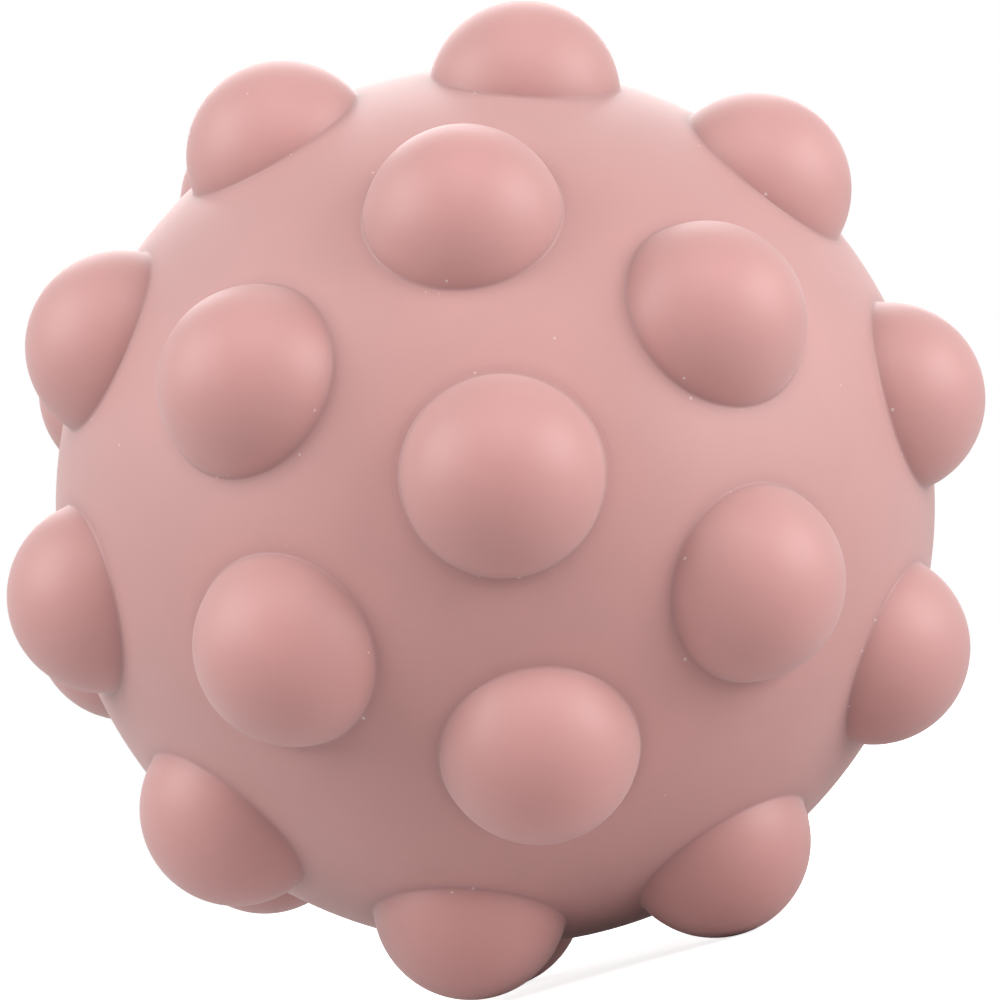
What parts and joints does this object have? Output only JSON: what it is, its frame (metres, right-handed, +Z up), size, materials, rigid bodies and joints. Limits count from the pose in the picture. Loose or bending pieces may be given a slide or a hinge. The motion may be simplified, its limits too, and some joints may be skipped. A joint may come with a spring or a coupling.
{
  "type": "sensory ball",
  "caption": "Hollow soft silicone ball for babies, covered in round domes that press in and spring back, to grip, roll and chew.",
  "frame": {"origin": "centre of the ball", "axes": "+Z up; the axis through the two pole domes is Y and the front half looks towards -Y; straight below, the ball rests on the domes around the lowest gap"},
  "size_m": [0.0768, 0.08, 0.0744],
  "materials": {
    "silicone": "matte dusty-pink silicone rubber, colour in linear light",
    "adhesive": "cured silicone adhesive, a shade darker than the skin, colour in linear light"
  },
  "bodies": {
    "ball": {"front_shell": "silicone", "rear_shell": "silicone", "seam_bead": "adhesive"},
    "front_pole_dome": {"front_pole_dome": "silicone"},
    "rear_pole_dome": {"rear_pole_dome": "silicone"},
    "front_inner_dome_1": {"front_inner_dome_1": "silicone"},
    "front_inner_dome_2": {"front_inner_dome_2": "silicone"},
    "front_inner_dome_3": {"front_inner_dome_3": "silicone"},
    "front_inner_dome_4": {"front_inner_dome_4": "silicone"},
    "front_inner_dome_5": {"front_inner_dome_5": "silicone"},
    "front_inner_dome_6": {"front_inner_dome_6": "silicone"},
    "rear_inner_dome_1": {"rear_inner_dome_1": "silicone"},
    "rear_inner_dome_2": {"rear_inner_dome_2": "silicone"},
    "rear_inner_dome_3": {"rear_inner_dome_3": "silicone"},
    "rear_inner_dome_4": {"rear_inner_dome_4": "silicone"},
    "rear_inner_dome_5": {"rear_inner_dome_5": "silicone"},
    "rear_inner_dome_6": {"rear_inner_dome_6": "silicone"},
    "front_outer_dome_1": {"front_outer_dome_1": "silicone"},
    "front_outer_dome_2": {"front_outer_dome_2": "silicone"},
    "front_outer_dome_3": {"front_outer_dome_3": "silicone"},
    "front_outer_dome_4": {"front_outer_dome_4": "silicone"},
    "front_outer_dome_5": {"front_outer_dome_5": "silicone"},
    "front_outer_dome_6": {"front_outer_dome_6": "silicone"},
    "front_outer_dome_7": {"front_outer_dome_7": "silicone"},
    "front_outer_dome_8": {"front_outer_dome_8": "silicone"},
    "front_outer_dome_9": {"front_outer_dome_9": "silicone"},
    "front_outer_dome_10": {"front_outer_dome_10": "silicone"},
    "rear_outer_dome_1": {"rear_outer_dome_1": "silicone"},
    "rear_outer_dome_2": {"rear_outer_dome_2": "silicone"},
    "rear_outer_dome_3": {"rear_outer_dome_3": "silicone"},
    "rear_outer_dome_4": {"rear_outer_dome_4": "silicone"},
    "rear_outer_dome_5": {"rear_outer_dome_5": "silicone"},
    "rear_outer_dome_6": {"rear_outer_dome_6": "silicone"},
    "rear_outer_dome_7": {"rear_outer_dome_7": "silicone"},
    "rear_outer_dome_8": {"rear_outer_dome_8": "silicone"},
    "rear_outer_dome_9": {"rear_outer_dome_9": "silicone"},
    "rear_outer_dome_10": {"rear_outer_dome_10": "silicone"}
  },
  "joints": [
    {"name": "front_pole_dome_press", "type": "slide", "parent": "ball", "child": "front_pole_dome", "axis": [0, 1, 0], "range_m": [0, 0.0126], "stiffness_N_per_m": 450},
    {"name": "rear_pole_dome_press", "type": "slide", "parent": "ball", "child": "rear_pole_dome", "axis": [0, -1, 0], "range_m": [0, 0.0126], "stiffness_N_per_m": 450},
    {"name": "front_inner_dome_1_press", "type": "slide", "parent": "ball", "child": "front_inner_dome_1", "axis": [-0.4651, 0.809, 0.3594], "range_m": [0, 0.0126], "stiffness_N_per_m": 450},
    {"name": "front_inner_dome_2_press", "type": "slide", "parent": "ball", "child": "front_inner_dome_2", "axis": [-0.5438, 0.809, -0.223], "range_m": [0, 0.0126], "stiffness_N_per_m": 450},
    {"name": "front_inner_dome_3_press", "type": "slide", "parent": "ball", "child": "front_inner_dome_3", "axis": [-0.0788, 0.809, -0.5825], "range_m": [0, 0.0126], "stiffness_N_per_m": 450},
    {"name": "front_inner_dome_4_press", "type": "slide", "parent": "ball", "child": "front_inner_dome_4", "axis": [0.4651, 0.809, -0.3594], "range_m": [0, 0.0126], "stiffness_N_per_m": 450},
    {"name": "front_inner_dome_5_press", "type": "slide", "parent": "ball", "child": "front_inner_dome_5", "axis": [0.5438, 0.809, 0.223], "range_m": [0, 0.0126], "stiffness_N_per_m": 450},
    {"name": "front_inner_dome_6_press", "type": "slide", "parent": "ball", "child": "front_inner_dome_6", "axis": [0.0788, 0.809, 0.5825], "range_m": [0, 0.0126], "stiffness_N_per_m": 450},
    {"name": "rear_inner_dome_1_press", "type": "slide", "parent": "ball", "child": "rear_inner_dome_1", "axis": [-0.4856, -0.809, 0.3312], "range_m": [0, 0.0126], "stiffness_N_per_m": 450},
    {"name": "rear_inner_dome_2_press", "type": "slide", "parent": "ball", "child": "rear_inner_dome_2", "axis": [-0.5296, -0.809, -0.2549], "range_m": [0, 0.0126], "stiffness_N_per_m": 450},
    {"name": "rear_inner_dome_3_press", "type": "slide", "parent": "ball", "child": "rear_inner_dome_3", "axis": [-0.0441, -0.809, -0.5861], "range_m": [0, 0.0126], "stiffness_N_per_m": 450},
    {"name": "rear_inner_dome_4_press", "type": "slide", "parent": "ball", "child": "rear_inner_dome_4", "axis": [0.4856, -0.809, -0.3312], "range_m": [0, 0.0126], "stiffness_N_per_m": 450},
    {"name": "rear_inner_dome_5_press", "type": "slide", "parent": "ball", "child": "rear_inner_dome_5", "axis": [0.5296, -0.809, 0.2549], "range_m": [0, 0.0126], "stiffness_N_per_m": 450},
    {"name": "rear_inner_dome_6_press", "type": "slide", "parent": "ball", "child": "rear_inner_dome_6", "axis": [0.0441, -0.809, 0.5861], "range_m": [0, 0.0126], "stiffness_N_per_m": 450},
    {"name": "front_outer_dome_1_press", "type": "slide", "parent": "ball", "child": "front_outer_dome_1", "axis": [-0.7525, 0.309, 0.5816], "range_m": [0, 0.0126], "stiffness_N_per_m": 450},
    {"name": "front_outer_dome_2_press", "type": "slide", "parent": "ball", "child": "front_outer_dome_2", "axis": [-0.9506, 0.309, 0.0282], "range_m": [0, 0.0126], "stiffness_N_per_m": 450},
    {"name": "front_outer_dome_3_press", "type": "slide", "parent": "ball", "child": "front_outer_dome_3", "axis": [-0.7857, 0.309, -0.5359], "range_m": [0, 0.0126], "stiffness_N_per_m": 450},
    {"name": "front_outer_dome_4_press", "type": "slide", "parent": "ball", "child": "front_outer_dome_4", "axis": [-0.3206, 0.309, -0.8954], "range_m": [0, 0.0126], "stiffness_N_per_m": 450},
    {"name": "front_outer_dome_5_press", "type": "slide", "parent": "ball", "child": "front_outer_dome_5", "axis": [0.2669, 0.309, -0.9128], "range_m": [0, 0.0126], "stiffness_N_per_m": 450},
    {"name": "front_outer_dome_6_press", "type": "slide", "parent": "ball", "child": "front_outer_dome_6", "axis": [0.7525, 0.309, -0.5816], "range_m": [0, 0.0126], "stiffness_N_per_m": 450},
    {"name": "front_outer_dome_7_press", "type": "slide", "parent": "ball", "child": "front_outer_dome_7", "axis": [0.9506, 0.309, -0.0282], "range_m": [0, 0.0126], "stiffness_N_per_m": 450},
    {"name": "front_outer_dome_8_press", "type": "slide", "parent": "ball", "child": "front_outer_dome_8", "axis": [0.7857, 0.309, 0.5359], "range_m": [0, 0.0126], "stiffness_N_per_m": 450},
    {"name": "front_outer_dome_9_press", "type": "slide", "parent": "ball", "child": "front_outer_dome_9", "axis": [0.3206, 0.309, 0.8954], "range_m": [0, 0.0126], "stiffness_N_per_m": 450},
    {"name": "front_outer_dome_10_press", "type": "slide", "parent": "ball", "child": "front_outer_dome_10", "axis": [-0.2669, 0.309, 0.9128], "range_m": [0, 0.0126], "stiffness_N_per_m": 450},
    {"name": "rear_outer_dome_1_press", "type": "slide", "parent": "ball", "child": "rear_outer_dome_1", "axis": [-0.7857, -0.309, 0.5359], "range_m": [0, 0.0126], "stiffness_N_per_m": 450},
    {"name": "rear_outer_dome_2_press", "type": "slide", "parent": "ball", "child": "rear_outer_dome_2", "axis": [-0.9506, -0.309, -0.0282], "range_m": [0, 0.0126], "stiffness_N_per_m": 450},
    {"name": "rear_outer_dome_3_press", "type": "slide", "parent": "ball", "child": "rear_outer_dome_3", "axis": [-0.7525, -0.309, -0.5816], "range_m": [0, 0.0126], "stiffness_N_per_m": 450},
    {"name": "rear_outer_dome_4_press", "type": "slide", "parent": "ball", "child": "rear_outer_dome_4", "axis": [-0.2669, -0.309, -0.9128], "range_m": [0, 0.0126], "stiffness_N_per_m": 450},
    {"name": "rear_outer_dome_5_press", "type": "slide", "parent": "ball", "child": "rear_outer_dome_5", "axis": [0.3206, -0.309, -0.8954], "range_m": [0, 0.0126], "stiffness_N_per_m": 450},
    {"name": "rear_outer_dome_6_press", "type": "slide", "parent": "ball", "child": "rear_outer_dome_6", "axis": [0.7857, -0.309, -0.5359], "range_m": [0, 0.0126], "stiffness_N_per_m": 450},
    {"name": "rear_outer_dome_7_press", "type": "slide", "parent": "ball", "child": "rear_outer_dome_7", "axis": [0.9506, -0.309, 0.0282], "range_m": [0, 0.0126], "stiffness_N_per_m": 450},
    {"name": "rear_outer_dome_8_press", "type": "slide", "parent": "ball", "child": "rear_outer_dome_8", "axis": [0.7525, -0.309, 0.5816], "range_m": [0, 0.0126], "stiffness_N_per_m": 450},
    {"name": "rear_outer_dome_9_press", "type": "slide", "parent": "ball", "child": "rear_outer_dome_9", "axis": [0.2669, -0.309, 0.9128], "range_m": [0, 0.0126], "stiffness_N_per_m": 450},
    {"name": "rear_outer_dome_10_press", "type": "slide", "parent": "ball", "child": "rear_outer_dome_10", "axis": [-0.3206, -0.309, 0.8954], "range_m": [0, 0.0126], "stiffness_N_per_m": 450}
  ]
}
